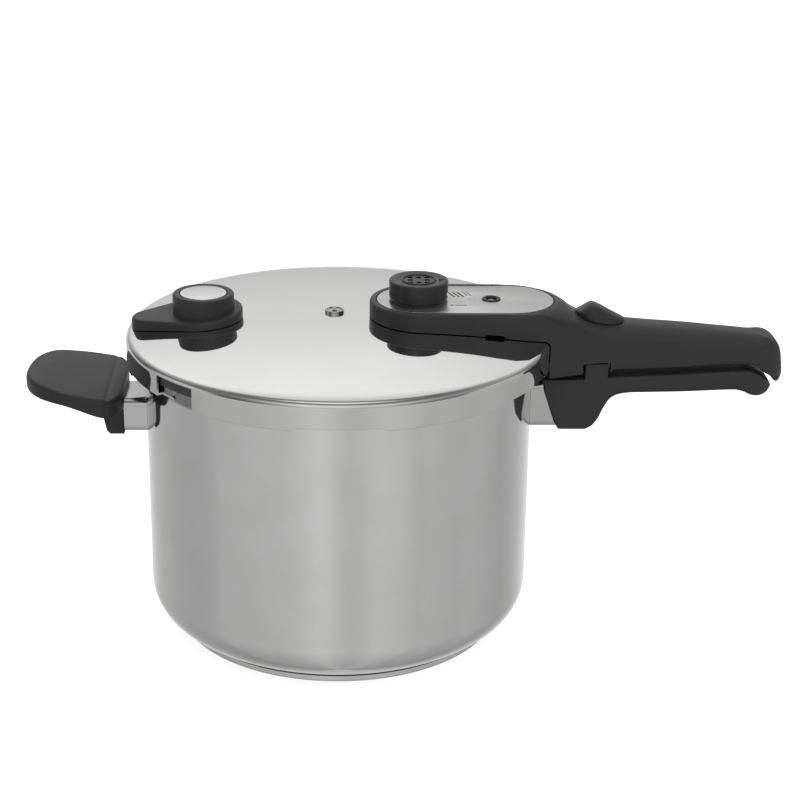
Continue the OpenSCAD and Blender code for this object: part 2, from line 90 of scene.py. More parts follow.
class Nodes:
    """Short calls for building one node tree."""

    def __init__(self, tree):
        self.tree = tree

    def add(self, kind, **settings):
        node = self.tree.nodes.new("ShaderNode" + kind)
        for key, value in settings.items():
            setattr(node, key, value)
        return node

    def put(self, socket, value):
        if isinstance(value, bpy.types.NodeSocket):
            self.tree.links.new(value, socket)
        elif value is not None:
            socket.default_value = value

    def math(self, operation, a, b=None):
        node = self.add("Math", operation=operation)
        self.put(node.inputs[0], a)
        self.put(node.inputs[1], b)
        return node.outputs[0]

    def span(self, value, low, high, to_low, to_high):
        """Maps low..high to to_low..to_high and holds the value beyond them."""
        node = self.add("MapRange")
        self.put(node.inputs[0], value)
        for socket, number in zip(list(node.inputs)[1:5], (low, high, to_low, to_high)):
            self.put(socket, number)
        return node.outputs[0]

    def axes(self, vector):
        split = self.add("SeparateXYZ")
        self.put(split.inputs[0], vector)
        return split.outputs

    def place(self, stretch=(1, 1, 1)):
        """The point in the model's frame, in metres, stretched along each axis."""
        where = self.add("TexCoord")
        scaled = self.add("Mapping")
        scaled.inputs["Scale"].default_value = stretch
        self.tree.links.new(where.outputs["Object"], scaled.inputs["Vector"])
        return scaled.outputs[0]

    def noise(self, scale, detail=3.0, stretch=(1, 1, 1)):
        node = self.add("TexNoise")
        self.put(node.inputs["Vector"], self.place(stretch))
        node.inputs["Scale"].default_value = scale
        node.inputs["Detail"].default_value = detail
        node.inputs["Roughness"].default_value = 0.55
        return node.outputs[0]

    def polar(self, centre):
        """Distance from a vertical axis and height, as a vector for turned or spun metal."""
        across, along, up = self.axes(self.place())
        x = self.math("SUBTRACT", across, centre[0] * MM)
        y = self.math("SUBTRACT", along, centre[1] * MM)
        squares = self.math("ADD", self.math("MULTIPLY", x, x), self.math("MULTIPLY", y, y))
        joined = self.add("CombineXYZ")
        self.put(joined.inputs[0], self.math("SQRT", squares))
        self.put(joined.inputs[1], up)
        return joined.outputs[0]

    def rings(self, scale, centre=(0, 0)):
        """Noise that only changes with radius and height about a vertical axis."""
        node = self.add("TexNoise")
        self.put(node.inputs["Vector"], self.polar(centre))
        node.inputs["Scale"].default_value = scale
        node.inputs["Detail"].default_value = 4.0
        return node.outputs[0]

    def tint(self, value, low, dark, high, light):
        ramp = self.add("ValToRGB")
        first, last = ramp.color_ramp.elements
        first.position, first.color = low, (*dark, 1)
        last.position, last.color = high, (*light, 1)
        self.put(ramp.inputs[0], value)
        return ramp.outputs[0]

    def multiply(self, a, b):
        node = self.add("MixRGB", blend_type="MULTIPLY")
        node.inputs[0].default_value = 1.0
        self.put(node.inputs[1], a)
        self.put(node.inputs[2], b)
        return node.outputs[0]

    def bump(self, height, distance):
        node = self.add("Bump")
        node.inputs["Strength"].default_value = 1.0
        node.inputs["Distance"].default_value = distance
        self.put(node.inputs["Height"], height)
        return node.outputs[0]

    def polish(self, fine, fine_spread, cloud, low, high):
        """Roughness from fine lines on top of cloudy patches, never quite zero."""
        lines = self.span(fine, 0.3, 0.7, -fine_spread, fine_spread)
        patches = self.span(cloud, 0.3, 0.7, low, high)
        return self.math("MAXIMUM", self.math("ADD", lines, patches), 0.015)


def new_material(name, metallic):
    made = bpy.data.materials.new(name)
    made.use_nodes = True
    shader = made.node_tree.nodes["Principled BSDF"]
    shader.inputs["Metallic"].default_value = metallic
    return made, Nodes(made.node_tree), shader


# Painted shade on the pot wall behind the lid's safety window: its colour is darkened there to stand for
# the dark inside of the skirt that the polish would mirror.
# Axis, start and end of a fade in metres, and the strength at both.
WINDOW_PAINTED_SHADE = ((2, 0.1574, 0.1592, 0.0, 1.0), (0, -0.099, -0.098, 0.0, 1.0),
                (0, -0.080, -0.0785, 1.0, 0.0), (1, -0.05, -0.03, 1.0, 0.0))


def steel(name, tone, rough, spread, lines, depth, stretch=None, aniso=0.0, crease_shade=None):
    """Worked steel: fine lines in the bump, cloudy polish in the roughness and a faint tint.

    The lines circle the upright axis, or run across the long side of stretch. A crease adds painted shade
    in the crevice where two parts meet: dark at a first height in millimetres and faded at a second. With
    it, the pot wall behind the lid's safety window also gets painted shade.
    """
    made, n, shader = new_material(name, 1.0)
    if stretch:
        fine = n.noise(lines, 4.0, stretch)
    else:
        fine = n.rings(lines)
    cloud = n.noise(35.0, 4.0)
    dark = tuple(tone * k * 0.965 for k in (1.0, 0.995, 0.985))
    light = tuple(min(1.0, tone * k * 1.02) for k in (1.0, 0.998, 0.994))
    colour = n.tint(cloud, 0.3, dark, 0.7, light)
    if crease_shade:
        axes = n.axes(n.place())
        # Painted shade in the crevice between the pot wall and the base cap.
        colour = n.multiply(colour, n.span(axes[2], crease_shade[0] * MM, crease_shade[1] * MM, 0.22, 1.0))
        # Painted shade on the pot wall behind the lid's safety window.
        window_shade = 1.0
        for axis, *fade in WINDOW_PAINTED_SHADE:
            window_shade = n.math("MULTIPLY", window_shade, n.span(axes[axis], *fade))
        colour = n.multiply(colour, n.span(window_shade, 0.0, 1.0, 1.0, 0.4))
    n.put(shader.inputs["Base Color"], colour)
    n.put(shader.inputs["Roughness"], n.polish(fine, spread, cloud, rough - spread, rough + spread))
    n.put(shader.inputs["Normal"], n.bump(fine, depth))
    shader.inputs["Anisotropic"].default_value = aniso
    return made


def mirror_steel():
    """Polished lid sheet, with painted shade on the skirt: its colour is darker than the dome's."""
    made, n, shader = new_material("mirror_steel", 1.0)
    fine = n.rings(900.0)
    cloud = n.noise(35.0, 4.0)
    # Painted shade: the colour below the shoulder is darkened.
    skirt_shade = n.span(n.axes(n.place())[2], 0.1755, 0.1785, 0.74, 1.0)
    sheet = n.tint(cloud, 0.3, (0.835, 0.832, 0.824), 0.7, (0.87, 0.868, 0.862))
    n.put(shader.inputs["Base Color"], n.multiply(sheet, skirt_shade))
    n.put(shader.inputs["Roughness"], n.polish(fine, 0.008, cloud, 0.022, 0.04))
    return made


def plastic(name, dark, light, rough, grain, depth):
    """Moulded plastic: fine spark-eroded grain, faint flow clouds and slightly polished patches."""
    made, n, shader = new_material(name, 0.0)
    cloud = n.noise(22.0, 5.0)
    speck = n.noise(grain, 2.0)
    n.put(shader.inputs["Base Color"], n.tint(cloud, 0.3, dark, 0.72, light))
    worn = n.span(cloud, 0.3, 0.7, rough - 0.04, rough + 0.04)
    n.put(shader.inputs["Roughness"], n.math("ADD", worn, n.span(speck, 0.3, 0.7, -0.05, 0.05)))
    n.put(shader.inputs["Normal"], n.bump(speck, depth))
    return made


def soft_rubber(name, dark, light, rough, milky=0.0):
    """Rubber with faint clouds and dusty specks; milky rubber lets some light in."""
    made, n, shader = new_material(name, 0.0)
    cloud = n.noise(60.0, 4.0)
    dust = n.noise(2200.0, 2.0)
    n.put(shader.inputs["Base Color"], n.tint(cloud, 0.3, dark, 0.7, light))
    n.put(shader.inputs["Roughness"], n.span(dust, 0.3, 0.7, rough - 0.08, rough + 0.08))
    n.put(shader.inputs["Normal"], n.bump(dust, 2e-5))
    if milky:
        shader.inputs["Subsurface Weight"].default_value = milky
        shader.inputs["Subsurface Scale"].default_value = 0.002
    return made


VALVE_X = 45.5
INDICATOR_X = 87.5
GRIP_X = -78.0
SAFETY = (-2.8, 6.0)

MATERIALS = {
    "lid_steel": mirror_steel(),
    "pot_steel": steel("pot_steel", 0.665, 0.07, 0.02, 1600.0, 4e-7, crease_shade=(4.9, 6.2)),
    "inside_steel": steel("satin_inside", 0.74, 0.4, 0.06, 900.0, 4e-6),
    "base_steel": steel("spun_steel", 0.60, 0.2, 0.05, 1500.0, 4e-6, crease_shade=(4.15, 3.7)),
    "collar_steel": steel("collar_steel", 0.53, 0.17, 0.04, 900.0, 2e-6, (0.05, 1.0, 1.0)),
    "bracket_steel": steel("pressed_steel", 0.55, 0.32, 0.06, 700.0, 1e-5, (1.0, 1.0, 0.1)),
    "plate_steel": steel("brushed_inlay", 0.67, 0.27, 0.03, 2600.0, 3e-6, (0.03, 1.0, 1.0), aniso=0.75),
    "disc_steel": steel("satin_disc", 0.83, 0.24, 0.05, 2600.0, 4e-6, (0.03, 1.0, 1.0), aniso=0.5),
    "turned_steel": steel("turned_steel", 0.75, 0.12, 0.04, 1800.0, 4e-6),
    "valve_steel": steel("valve_steel", 0.5, 0.16, 0.04, 1800.0, 4e-6),
    # Turned steel made darker as painted shade for the pin tops, which sit in shade.
    "dark_steel": steel("dark_steel", 0.26, 0.3, 0.06, 1200.0, 4e-6),
    "fastener_steel": steel("zinc_plate", 0.55, 0.3, 0.08, 500.0, 1e-5, (1, 1, 1)),
    "aluminium_core": steel("cast_aluminium", 0.7, 0.42, 0.08, 400.0, 2e-5, (1, 1, 1)),
    "handle_plastic": plastic(
        "matt_black_plastic", (0.021, 0.021, 0.0225), (0.032, 0.032, 0.034), 0.44, 1700.0, 3e-5),
    "trim_plastic": plastic(
        "satin_black_plastic", (0.019, 0.019, 0.020), (0.030, 0.030, 0.031), 0.38, 2300.0, 2e-5),
    # The handles' black plastic made darker as painted shade for the helper handle.
    "wing_plastic": plastic(
        "wing_plastic", (0.015, 0.015, 0.0162), (0.026, 0.026, 0.0275), 0.46, 1700.0, 3e-5),
    "index_white": plastic("white_enamel", (0.74, 0.74, 0.72), (0.84, 0.84, 0.83), 0.3, 1800.0, 1e-5),
    # Silicone made darker as painted shade, so that the inside of the lid's safety window looks dark.
    "silicone": soft_rubber("grey_silicone_painted_shade", (0.04, 0.04, 0.042), (0.07, 0.07, 0.073), 0.5, 0.1),
    "black_rubber": soft_rubber("black_rubber", (0.012, 0.012, 0.012), (0.03, 0.03, 0.03), 0.42),
}


def brass():
    made, n, shader = new_material("turned_brass", 1.0)
    turned = n.rings(1800.0, (VALVE_X, 0))
    cloud = n.noise(120.0, 4.0)
    n.put(shader.inputs["Base Color"], n.tint(cloud, 0.3, (0.6, 0.42, 0.19), 0.7, (0.78, 0.6, 0.31)))
    n.put(shader.inputs["Roughness"], n.span(turned, 0.3, 0.7, 0.16, 0.34))
    n.put(shader.inputs["Normal"], n.bump(turned, 8e-6))
    return made


MATERIALS["brass"] = brass()

# Azimuth of a reflected ray as a share of a full turn, with 0.5 towards the front, and its light.
BANDS = [
    (0.03, 0.86), (0.08, 0.62), (0.14, 0.54), (0.19, 0.50), (0.25, 0.50), (0.275, 0.53), (0.29, 0.59),
    (0.34, 0.61), (0.385, 0.64), (0.415, 0.67), (0.435, 0.71), (0.455, 0.77), (0.47, 0.81),
    (0.49, 0.74), (0.51, 0.65), (0.525, 0.65), (0.545, 0.68), (0.565, 0.74), (0.61, 0.69),
    (0.635, 0.59), (0.655, 0.64), (0.695, 0.58), (0.715, 0.56), (0.745, 0.59), (0.80, 0.51),
    (0.83, 0.48), (0.89, 0.58), (0.95, 0.86)]
# Height of a reflected ray (the sine of its elevation, 0 to 1) and its light.
SKY = [(0.0, 0.56), (0.09, 0.60), (0.2, 0.66), (0.34, 0.73), (0.46, 0.86), (0.58, 0.94), (0.66, 0.72),
       (0.8, 0.36), (0.9, 0.16), (0.95, 0.28), (0.98, 0.72), (1.0, 0.8)]
# Light that matt surfaces get, from straight below (0) over the horizon (0.5) to straight above (1).
SOFT = [(0.0, 0.04), (0.35, 0.10), (0.5, 0.42), (0.6, 0.62), (0.75, 0.85), (1.0, 1.1)]


def fill_ramp(n, points, value):
    ramp = n.add("ValToRGB")
    elements = ramp.color_ramp.elements
    ramp.color_ramp.interpolation = "B_SPLINE" if len(points) > 12 else "LINEAR"
    while len(elements) < len(points):
        elements.new(1.0)
    for element, (position, light) in zip(elements, points):
        element.position = position
        element.color = (light, light, light, 1)
    n.put(ramp.inputs[0], value)
    return ramp.outputs[0]


def make_world():
    """Plain white light everywhere; polished metal sees soft grey bands, as in a light tent."""
    world = bpy.data.worlds.new("Studio")
    bpy.context.scene.world = world
    world.use_nodes = True
    n = Nodes(world.node_tree)
    background = world.node_tree.nodes["Background"]
    x, y, z = n.axes(n.add("TexCoord").outputs["Generated"])
    turn = n.math("ARCTAN2", x, n.math("MULTIPLY", y, -1.0))
    bands = fill_ramp(n, BANDS, n.span(turn, -math.pi, math.pi, 0.0, 1.0))
    low = n.multiply(bands, n.span(z, -0.95, -0.45, 0.74, 1.0))
    # Darker to both sides, so that the lid's rolled edge stands out, and light again at the ends.
    left = n.math("MAXIMUM", n.span(x, -0.75, -0.28, 0.2, 1.0), n.span(x, -0.95, -0.85, 0.9, 0.0))
    right = n.math("MAXIMUM", n.span(x, 0.35, 0.75, 1.0, 0.4), n.span(x, 0.85, 0.95, 0.0, 1.0))
    sides = n.math("MULTIPLY", left, right)
    high = n.multiply(n.multiply(fill_ramp(n, SKY, z), n.span(x, 0.03, 0.21, 1.0, 0.84)), sides)
    tent = n.add("MixRGB")
    n.put(tent.inputs[0], n.span(z, -0.03, 0.03, 0.0, 1.0))
    n.put(tent.inputs[1], low)
    n.put(tent.inputs[2], high)
    seen = n.add("MixRGB")
    n.put(seen.inputs[0], n.add("LightPath").outputs["Is Glossy Ray"])
    n.put(seen.inputs[1], fill_ramp(n, SOFT, n.span(z, -1.0, 1.0, 0.0, 1.0)))
    n.put(seen.inputs[2], tent.outputs[0])
    n.put(background.inputs["Color"], seen.outputs[0])


FLOOR_R = 9000


def make_floor():
    """A white sweep that glows a little, so that shadows stay light."""
    made, n, shader = new_material("studio_floor", 0.0)
    MATERIALS["floor"] = made
    cloud = n.noise(3.0)
    n.put(shader.inputs["Base Color"], n.tint(cloud, 0.2, (0.5, 0.5, 0.5), 0.8, (0.53, 0.53, 0.53)))
    shader.inputs["Roughness"].default_value = 0.9
    shader.inputs["Specular IOR Level"].default_value = 0.0
    shader.inputs["Emission Color"].default_value = (1, 1, 1, 1)
    shader.inputs["Emission Strength"].default_value = 0.78
    floor = add_mesh("Floor", *revolve([(0, 0), (FLOOR_R, 0)], steps=64, closed=False), "floor")
    floor.visible_glossy = False
    floor.visible_diffuse = False


# ---- mesh tools

def add_mesh(name, verts, faces, material, sharp=32.0):
    """Mesh object from points in millimetres, with outward normals and smooth shading."""
    mesh = bpy.data.meshes.new(name)
    mesh.from_pydata([Vector(v) * MM for v in verts], [], faces)
    made = bpy.data.objects.new(name, mesh)
    bpy.context.scene.collection.objects.link(made)
    weld(made)
    shade(made, sharp)
    mesh.materials.append(MATERIALS[material])
    return made


def weld(made):
    """Merges doubles and turns the faces outwards."""
    work = bmesh.new()
    work.from_mesh(made.data)
    bmesh.ops.remove_doubles(work, verts=work.verts, dist=4e-6)
    bmesh.ops.recalc_face_normals(work, faces=work.faces)
    work.to_mesh(made.data)
    work.free()


def shade(made, sharp=32.0):
    """Smooth shading with sharp corners."""
    made.data.shade_smooth()
    made.data.set_sharp_from_angle(angle=math.radians(sharp))


def finish_piece(made, body, slot, *replaced):
    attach(made, body)
    if replaced:
        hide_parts(*replaced)


def settle(made):
    """Puts the shape that the modifiers give into the mesh itself."""
    graph = bpy.context.evaluated_depsgraph_get()
    graph.update()
    result = bpy.data.meshes.new_from_object(made.evaluated_get(graph))
    made.modifiers.clear()
    old = made.data
    name = old.name
    made.data = result
    bpy.data.meshes.remove(old)
    result.name = name


def combine(made, tools, operation="DIFFERENCE", sharp=32.0):
    """Cuts or joins closed tool meshes, one after the other, and removes them."""
    for other in tools:
        modifier = made.modifiers.new("cut", "BOOLEAN")
        modifier.operation = operation
        modifier.solver = "MANIFOLD"
        modifier.object = other
        settle(made)
        mesh = other.data
        bpy.data.objects.remove(other)
        bpy.data.meshes.remove(mesh)
    shade(made, sharp)


def soften(made, voxel, rounds):
    """Remeshes a body with fine voxels and smooths the creases between its faces."""
    modifier = made.modifiers.new("remesh", "REMESH")
    modifier.mode = "VOXEL"
    modifier.voxel_size = voxel * MM
    modifier = made.modifiers.new("smooth", "SMOOTH")
    modifier.factor = 0.5
    modifier.iterations = rounds
    settle(made)
    shade(made, 60)


def on_circle(angle, radius, x=0.0, y=0.0):
    return x + radius * math.cos(angle), y + radius * math.sin(angle)


def rounded(corners, closed=True, step=10.0, each=None):
    """Outline through (a, b, radius) corners, each corner turned into an arc.

    With each, every arc has that many steps whatever its angle, so that profiles stay matched.
    """
    line = []
    count = len(corners)
    for i, (a, b, radius) in enumerate(corners):
        if radius == 0 or (not closed and i in (0, count - 1)):
            line.append((a, b))
            continue
        corner = Vector((a, b))
        before = Vector(corners[i - 1][:2]) - corner
        after = Vector(corners[(i + 1) % count][:2]) - corner
        u, v = before.normalized(), after.normalized()
        half = math.acos(max(-1.0, min(1.0, u.dot(v)))) / 2
        reach = min(radius / max(1e-6, math.tan(half)), 0.49 * before.length, 0.49 * after.length)
        if half > math.radians(89.5):
            for k in range((each or 0) + 1):
                share = k / max(1, each or 0)
                point = corner + (u * (1 - share) + v * share) * 0.1 * reach
                line.append((point.x, point.y))
            continue
        true_radius = reach * math.tan(half)
        centre = corner + (u + v).normalized() * (true_radius / math.sin(half))
        first = corner + u * reach - centre
        last = corner + v * reach - centre
        swept = first.angle_signed(last)
        steps = each or max(2, math.ceil(abs(math.degrees(swept)) / step))
        start = math.atan2(first.y, first.x)
        line += [on_circle(start - swept * k / steps, true_radius, centre.x, centre.y)
                 for k in range(steps + 1)]
    return line


def revolve(profile, centre=(0, 0), steps=180, closed=True):
    """Points and faces of (radius, height) points turned about a vertical axis."""
    return polar_body(lambda angle: profile, centre, steps, closed)


def polar_body(profile_at, centre=(0, 0), steps=180, closed=True):
    """A turned body whose profile may change with the angle in degrees."""
    columns = [profile_at(360.0 * k / steps) for k in range(steps)]
    verts, faces = [], []
    for k, column in enumerate(columns):
        angle = 2 * math.pi * k / steps
        for r, z in column:
            verts.append((centre[0] + r * math.cos(angle), centre[1] + r * math.sin(angle), z))
    length = len(columns[0])
    pairs = [(i, i + 1) for i in range(length - 1)] + ([(length - 1, 0)] if closed else [])
    for i, j in pairs:
        axis_i = columns[0][i][0] < 1e-6
        axis_j = columns[0][j][0] < 1e-6
        if axis_i and axis_j:
            continue
        for k in range(steps):
            m = (k + 1) % steps
            a, b, c, d = k * length + i, m * length + i, m * length + j, k * length + j
            if axis_i:
                faces.append((a, c, d))
            elif axis_j:
                faces.append((a, b, c))
            else:
                faces.append((a, b, c, d))
    return verts, faces


def loft(rings, capped=True):
    """Skin through rings of equal length; the end rings are closed with a face each."""
    count = len(rings[0])
    verts = [p for ring in rings for p in ring]
    faces = []
    for i in range(len(rings) - 1):
        for k in range(count):
            m = (k + 1) % count
            faces.append((i * count + k, i * count + m, (i + 1) * count + m, (i + 1) * count + k))
    if capped:
        faces.append(tuple(range(count)))
        last = (len(rings) - 1) * count
        faces.append(tuple(last + k for k in reversed(range(count))))
    return verts, faces


def tool(body):
    """Closed body that combine() cuts with or joins, and then removes."""
    return add_mesh("tool", *body, "handle_plastic")


def prism_tool(outline, low, high):
    """Upright tool over a plan outline."""
    return tool(loft([[(x, y, z) for x, y in outline] for z in (low, high)]))


def turned_tool(profile, centre=(0, 0), steps=96):
    return tool(revolve(profile, centre, steps))


def turned_piece(name, material, corners, centre=(0, 0), steps=96, step=15.0, closed=True):
    """Mesh turned about an upright axis from (radius, height, corner radius) corners."""
    return add_mesh(name, *revolve(rounded(corners, closed, step), centre, steps), material)


def post_tool(x, radius, low, high, y=0.0):
    return turned_tool([(0, low), (radius, low), (radius, high), (0, high)], (x, y))


def box_outline(x0, x1, y0, y1):
    return [(x0, y0), (x1, y0), (x1, y1), (x0, y1)]


def stadium(radius, x0, x1):
    right = [on_circle(math.radians(a), radius, x1) for a in range(-90, 91, 4)]
    return right + [on_circle(math.radians(a), radius, x0) for a in range(90, 271, 4)]


def smooth_curve(points):
    """Function through points of rising x that doesn't overshoot between them."""
    xs = [p[0] for p in points]
    ys = [p[1] for p in points]
    slopes = [(ys[i + 1] - ys[i]) / (xs[i + 1] - xs[i]) for i in range(len(xs) - 1)]
    tangents = [slopes[0]]
    for before, after in zip(slopes, slopes[1:]):
        tangents.append(0.0 if before * after <= 0 else 2 * before * after / (before + after))
    tangents.append(slopes[-1])

    def value(x):
        if x <= xs[0]:
            return ys[0]
        if x >= xs[-1]:
            return ys[-1]
        i = max(k for k in range(len(xs) - 1) if xs[k] <= x)
        width = xs[i + 1] - xs[i]
        t = (x - xs[i]) / width
        return ((2 * t ** 3 - 3 * t ** 2 + 1) * ys[i] + (t ** 3 - 2 * t ** 2 + t) * width * tangents[i]
                + (3 * t ** 2 - 2 * t ** 3) * ys[i + 1] + (t ** 3 - t ** 2) * width * tangents[i + 1])

    return value


def ease(value, low, high):
    t = min(1.0, max(0.0, (value - low) / (high - low)))
    return t * t * (3 - 2 * t)


def mix(a, b, share):
    return a + (b - a) * share


def rib_body(stations, top, bottom, arc_steps=7, flat_steps=4):
    """Closed body over a plan outline, made of ribs that lean from the outline to a spine.

    A station is (x, y, spine x, spine y, edge width, edge drop, lower edge radius).
    """
    ribs = []
    for x, y, sx, sy, width, drop, low in stations:
        reach = max(1e-3, math.hypot(x - sx, y - sy))
        width = min(width, 0.96 * reach)
        low = min(low, 0.9 * reach)

        def at(share):
            return mix(sx, x, share), mix(sy, y, share)

        rib = []
        flat = 1 - low / reach
        for k in range(flat_steps):
            px, py = at(flat * k / flat_steps)
            rib.append((px, py, bottom(px, py)))
        for k in range(arc_steps // 2 + 1):
            angle = math.pi / 2 * k / (arc_steps // 2)
            px, py = at(flat + low / reach * math.sin(angle))
            rib.append((px, py, bottom(px, py) + low * (1 - math.cos(angle))))
        base = bottom(x, y) + low
        brow = max(base + 0.2, top(x, y) - drop)
        for k in range(1, 5):
            rib.append((x, y, mix(base, brow, k / 5)))
        flat = 1 - width / reach
        for k in range(arc_steps + 1):
            angle = math.pi / 2 * k / arc_steps
            px, py = at(flat + width / reach * math.cos(angle))
            lift = top(px, py)
            fall = min(drop, lift - base - 0.2)
            rib.append((px, py, lift - fall * (1 - math.sin(angle))))
        for k in range(1, flat_steps + 1):
            px, py = at(flat * (1 - k / flat_steps))
            rib.append((px, py, top(px, py)))
        ribs.append(rib)
    count = len(ribs[0])
    verts = [p for rib in ribs for p in rib]
    faces = []
    for i in range(len(ribs)):
        j = (i + 1) % len(ribs)
        for k in range(count - 1):
            faces.append((i * count + k, j * count + k, j * count + k + 1, i * count + k + 1))
    return verts, faces


# ---- pot and base

LUG_ANGLE = 24.0
RIM_Z = 170.0
POT_R = 112.0
BASE_R = 96.2


def near_lug(angle, soft=1.2):
    """1 on a bayonet lug, 0 between the lugs, with short ramps at the lug's ends."""
    off = abs((angle + 90 + 30) % 60 - 30)
    return 1 - ease(off, LUG_ANGLE / 2 - soft, LUG_ANGLE / 2)


def pot_profile(angle):
    lug = near_lug(angle)
    rim = mix(116.0, 119.5, lug)
    lip = mix(168.8, 165.8, lug)
    corners = [
        (0, 4.3, 0), (POT_R, 4.3, 22.5), (POT_R, 168.8, 1.4), (rim - 1.2, 168.8, 0.3),
        (rim - 1.2, lip - 0.002, 0.1), (rim, lip - 0.002, 0.4), (rim, RIM_Z, 0.55),
        (POT_R - 1, RIM_Z, 0.9), (POT_R - 1, 5.3, 21.5), (0, 5.3, 0)]
    return rounded(corners, closed=False, each=12)


def make_pot():
    pot = add_mesh("PotBody", *polar_body(pot_profile, steps=360), "pot_steel", sharp=40)
    pot.data.materials.append(MATERIALS["inside_steel"])
    for face in pot.data.polygons:
        x, y, z = face.center / MM
        outward = (x * face.normal.x + y * face.normal.y) / max(1e-6, math.hypot(x, y))
        if z < RIM_Z - 0.7 and (outward < -0.3 or face.normal.z > 0.3):
            face.material_index = 1
    finish_piece(pot, "pot", "pot_steel", "pot_shell")
    base = [(0, 0, 0), (76, 0, 0), (77, 0.35, 0.3), (80, 0.35, 0.3), (81, 0, 0), (BASE_R, 0, 1.6),
            (BASE_R, 4.1, 0.7), (94.9, 4.4, 0), (94.9, 0.8, 0), (0, 0.8, 0)]
    cap = turned_piece("BaseCap", "base_steel", base, steps=240, step=10.0, closed=False)
    finish_piece(cap, "pot", "base_steel", "base_cap")


# ---- lid

LID_R = 122.5
CROWN_Z = 186.5


def dome_z(r):
    return CROWN_Z - 7.0 * (r / 118.5) ** 2.5


def lid_profile(angle):
    tab = near_lug(angle)
    lower = mix(162.7, 164.2, tab)
    reach = mix(LID_R - 1.0, 116.5, tab)
    dome = [114 * k / 20 for k in range(21)]
    outer = [(r, dome_z(r), 0) for r in dome]
    inner = [(r, dome_z(r) - 1.0, 0) for r in reversed(dome)]
    shoulder = [(LID_R, 178.9, 4.2), (LID_R, 172.0, 0), (LID_R, 168.0, 0), (LID_R, lower, 0.35)]
    fold = [(reach, lower, 0.3), (reach, lower + mix(0.7, 1.2, tab), 0.3),
            (LID_R - 1.0, lower + mix(0.9, 1.2, tab), 0.1)]
    back = [(LID_R - 1.0, 168.0, 0), (LID_R - 1.0, 172.0, 0), (LID_R - 1.0, 177.9, 3.2)]
    return rounded(outer + shoulder + fold + back + inner, closed=False, each=6)


def make_lid():
    lid = add_mesh("LidShell", *polar_body(lid_profile, steps=360), "lid_steel", sharp=40)
    arc = [math.radians(a) for a in range(-144, -129, 2)]
    window = [on_circle(a, 125) for a in arc] + [on_circle(a, 119) for a in reversed(arc)]
    tools = [prism_tool(window, 161, 176.2), post_tool(VALVE_X, 6.05, 170, 190),
             post_tool(INDICATOR_X, 3.45, 170, 190), post_tool(GRIP_X, 2.55, 170, 190),
             post_tool(SAFETY[0], 3.25, 170, 190, SAFETY[1])]
    combine(lid, tools, sharp=40)
    finish_piece(lid, "lid", "lid_steel", "lid_shell")


def envelope_tool(gap):
    """Everything under the dome and inside the skirt, grown by a gap."""
    dome = [(114.0 * k / 20, dome_z(114.0 * k / 20) + gap, 0) for k in range(21)]
    corners = dome + [(LID_R + gap, 178.9 + gap, 4.2), (LID_R + gap, 120, 0), (0, 120, 0)]
    return turned_tool(rounded(corners, closed=False, step=6), steps=240)


# ---- lid handle

NOSE_R = 29.6
NOSE_X = (47.0, 98.0)
TAIL_X = 258.4
# Side view of the lid handle along its middle: its upper side and its underside.
crest = smooth_curve([
    (98, 196.6), (124.6, 196.6), (128.4, 195.3), (131.4, 193.4), (134.6, 190.7), (138.6, 188.0),
    (142.8, 186.2), (147.5, 185.2), (153, 184.6), (165, 184.2), (180, 183.1), (198, 181.9),
    (219, 180.0), (233.6, 178.7), (242.5, 177.7), (247.8, 176.8), (252, 175.0), (255.1, 171.8),
    (257, 167.2), (258.0, 159.5)])
underside = smooth_curve([
    (98, 156.4), (156.0, 156.4), (157.2, 158.4), (174, 158.9), (199, 159.7), (217, 160.9),
    (236.5, 161.5), (242, 159.6), (247, 155.9), (251, 153.4), (253, 150.5), (255.3, 149.2),
    (257, 149.7), (258.4, 152)])


def grip_taper(x):
    return 16 - 2.5 * max(0.0, (x - 158) / 87)


def end_round(x, start, end):
    return math.sqrt(1 - 0.85 * max(0.0, (x - start) / (end - start)) ** 2)


def upper_half(x):
    blend = (1 + math.cos(math.pi * min(1.0, max(0.0, (x - NOSE_X[1]) / 60)))) / 2
    return mix(grip_taper(x), NOSE_R, blend) * end_round(x, 245, TAIL_X)


def handle_top(x, y):
    return crest(x) if x < NOSE_X[1] else crest(NOSE_X[1] + math.hypot(x - NOSE_X[1], y))


def handle_edge(x):
    """Width and drop of the rounded upper edge of the lid handle."""
    grown = ease(x, 120, 166)
    near_end = ease(x, 238, 252)
    width = mix(1.7, mix(0.9, 0.5, near_end) * upper_half(x), grown)
    return width, mix(mix(1.7, 8.0, grown), 3.0, near_end)


def handle_surface(x, y):
    """Height of the finished upper surface of the lid handle."""
    width, drop = handle_edge(x)
    half = upper_half(x)
    out = max(0.0, min(1.0, (abs(y) - half + width) / width))
    return handle_top(x, y) - drop * (1 - math.sqrt(1 - out * out))


def mirrored(half):
    """Closed list of stations from the half on the +Y side, first and last on the axis."""
    other = [(x, -y, sx, -sy, *rest) for x, y, sx, sy, *rest in reversed(half[1:-1])]
    return half + other


def upper_stations():
    half = []
    for a in range(180, 90, -5):
        half.append((*on_circle(math.radians(a), NOSE_R, NOSE_X[0]), NOSE_X[0], 0, 1.7, 1.7, 0.5))
    xs = [47 + 51 * k / 10 for k in range(10)] + [98 + 148 * k / 56 for k in range(56)]
    xs += [246 + 12.4 * math.sin(math.pi / 2 * k / 9) for k in range(10)]
    for x in xs:
        width, drop = handle_edge(x)
        half.append((x, upper_half(x), x if x < 238 else 238 + 0.3 * (x - 238), 0, width, drop, 1.6))
    end_x, end_y = half[-1][:2]
    for share in (0.66, 0.33, 0):
        half.append((end_x, end_y * share, 244, 0, 3.0, 2.0, 1.6))
    return mirrored(half)


